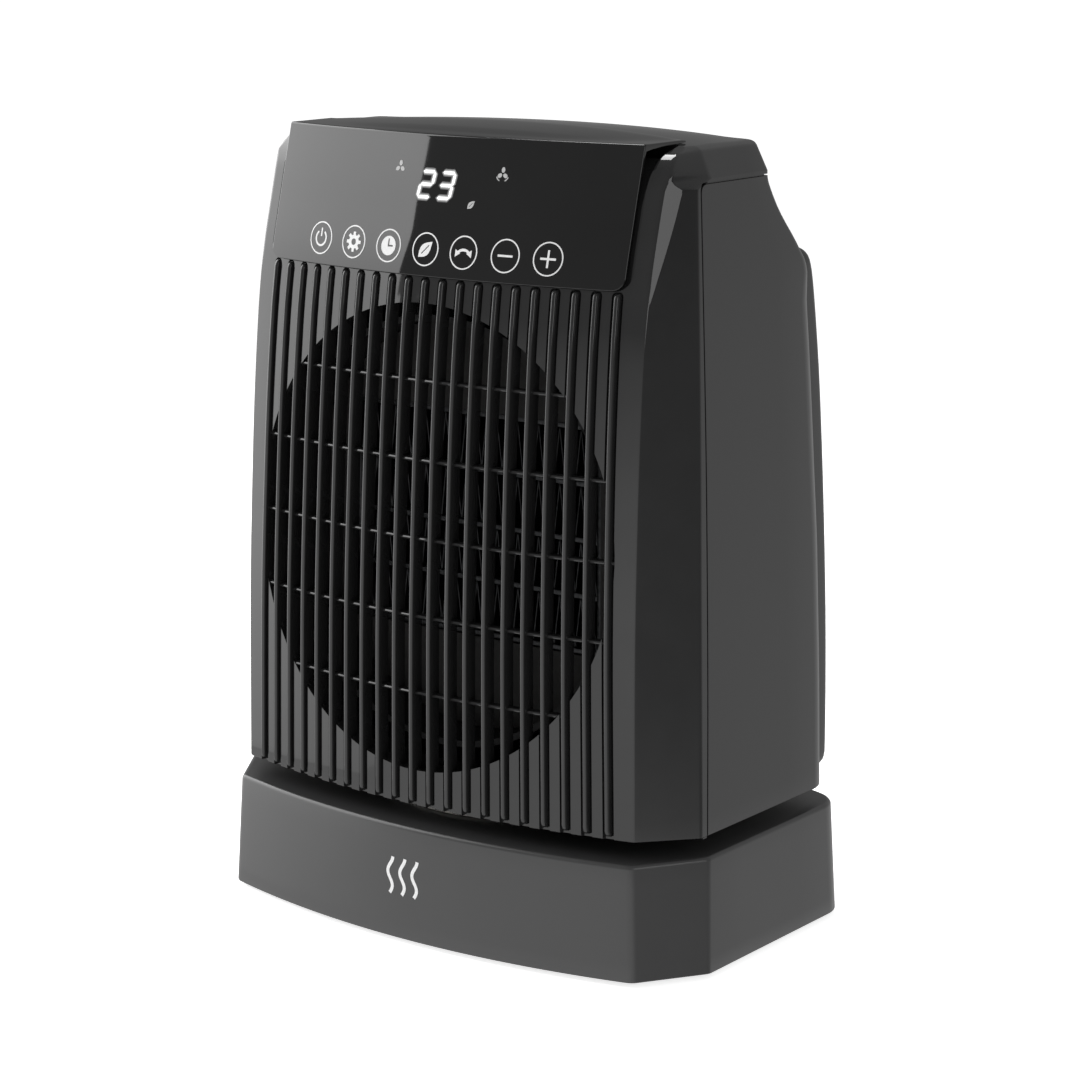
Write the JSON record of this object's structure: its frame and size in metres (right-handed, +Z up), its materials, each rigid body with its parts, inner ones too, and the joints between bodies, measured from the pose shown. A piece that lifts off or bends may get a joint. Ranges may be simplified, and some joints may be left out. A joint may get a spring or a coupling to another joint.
{
  "type": "portable ceramic fan heater",
  "caption": "Portable ceramic fan heater with a ribbed round outlet, a touch panel with a digital display and a base that swings the housing from side to side.",
  "frame": {"origin": "centre of the footprint, on the plane that the feet stand on", "axes": "+Z up, front (air outlet and touch panel) towards -Y, +X to the right of a viewer who faces the front"},
  "size_m": [0.2392, 0.1588, 0.3215],
  "materials": {
    "shell_plastic": "satin moulded ABS, charcoal black",
    "base_plastic": "satin moulded ABS, charcoal grey",
    "panel_gloss": "mirror-gloss smoked acrylic",
    "switch_black": "semi-gloss",
    "inner_plastic": "matt black",
    "filter_mesh": "woven nylon mesh",
    "foot_rubber": "matt",
    "steel": "zinc-plated",
    "heater_aluminium": "rolled fins",
    "heatproof_plastic": "glass-filled, dark brown black",
    "circuit_board": "green solder mask",
    "white_acetal": "self-lubricating white",
    "relay_blue": "moulded",
    "display_light": "lit white LED digits"
  },
  "bodies": {
    "base": {"base_shell": "base_plastic", "base_plate": "inner_plastic", "foot_front_left": "foot_rubber", "foot_front_right": "foot_rubber", "foot_rear_left": "foot_rubber", "foot_rear_right": "foot_rubber", "base_screw_1": "steel", "base_screw_2": "steel", "base_screw_3": "steel", "base_screw_4": "steel", "slide_ring": "white_acetal", "swing_motor": "steel", "swing_motor_plate": "steel", "cord_gland": "foot_rubber", "switch_body": "switch_black"},
    "housing": {"front_shell": "shell_plastic", "outlet_grille": "shell_plastic", "rear_shell": "shell_plastic", "control_panel": "panel_gloss", "touch_board": "circuit_board", "display_module": "display_light", "touch_key_1": "steel", "touch_key_2": "steel", "touch_key_3": "steel", "touch_key_4": "steel", "touch_key_5": "steel", "touch_key_6": "steel", "touch_key_7": "steel", "rear_grille": "shell_plastic", "dust_filter": "filter_mesh", "air_duct": "inner_plastic", "heater_frame": "heatproof_plastic", "ptc_core": "heater_aluminium", "thermal_cutout": "steel", "motor_bracket": "inner_plastic", "fan_motor": "steel", "power_board": "circuit_board", "relay_1": "relay_blue", "relay_2": "relay_blue", "mains_capacitor": "heatproof_plastic", "tilt_switch": "inner_plastic", "terminal_block": "white_acetal", "turntable": "inner_plastic", "retaining_ring": "white_acetal", "sector_gear": "white_acetal"},
    "fan": {"fan_impeller": "inner_plastic", "fan_shaft": "steel", "fan_nut": "steel"},
    "pinion": {"swing_pinion": "white_acetal"},
    "rocker": {"switch_rocker": "switch_black"}
  },
  "joints": [
    {"name": "oscillation", "type": "hinge", "parent": "base", "child": "housing", "pos_m": [0, 0, 0.05], "axis": [0, 0, 1], "range_deg": [-35, 35]},
    {"name": "pinion_spin", "type": "hinge", "parent": "base", "child": "pinion", "pos_m": [0, 0.04575, 0.0385], "axis": [0, 0, 1], "range_deg": [-141, 141]},
    {"name": "fan_spin", "type": "hinge", "parent": "housing", "child": "fan", "pos_m": [0, 0.018, 0.163], "axis": [0, -1, 0], "continuous": true},
    {"name": "power_rocker", "type": "hinge", "parent": "base", "child": "rocker", "pos_m": [-0.05778, 0.0724, 0.025], "axis": [0, 0, 1], "range_deg": [-14, 0]}
  ],
  "couplings": [
    {"joint": "pinion_spin", "follows": "oscillation", "ratio": -4}
  ]
}
